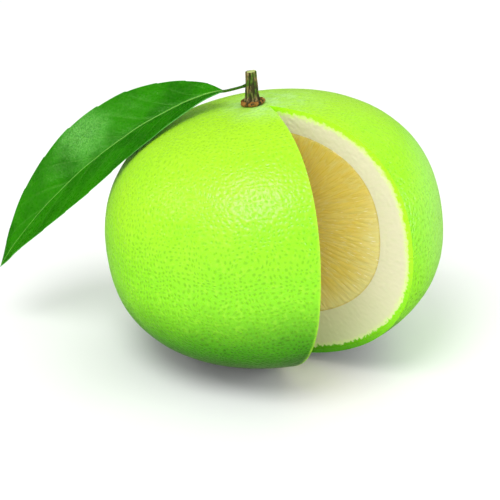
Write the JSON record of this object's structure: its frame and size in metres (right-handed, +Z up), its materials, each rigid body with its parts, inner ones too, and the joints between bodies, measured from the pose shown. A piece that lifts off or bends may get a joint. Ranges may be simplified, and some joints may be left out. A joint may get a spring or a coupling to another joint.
{
  "type": "pomelo",
  "caption": "Ripe green pomelo with a wedge cut out to show skin, pith and flesh, its stem and one leaf, resting on a small flat spot.",
  "frame": {"origin": "centre of the small flat spot that the fruit rests on", "axes": "+Z up, -Y towards the viewer of the cut side, +X to the viewer's right; the stem stands at the top and the leaf points to -X"},
  "size_m": [0.2133, 0.1598, 0.1365],
  "materials": {
    "skin": "bright lime-green waxy rind, satin, dimpled with darker oil glands",
    "pith": "matt cream-white spongy pith, cut face",
    "flesh": "golden yellow juice sacs, moist and slightly translucent",
    "calyx": "dry orange-brown five-lobed button, matt",
    "stem": "brown and green striped bark with a pale cut end, matt",
    "leaf": "dark green leathery leaf, satin, with a pale midrib"
  },
  "bodies": {
    "root": {"skin": "skin", "pith": "pith", "flesh": "flesh", "calyx": "calyx", "stem": "stem", "leaf": "leaf"}
  },
  "joints": []
}
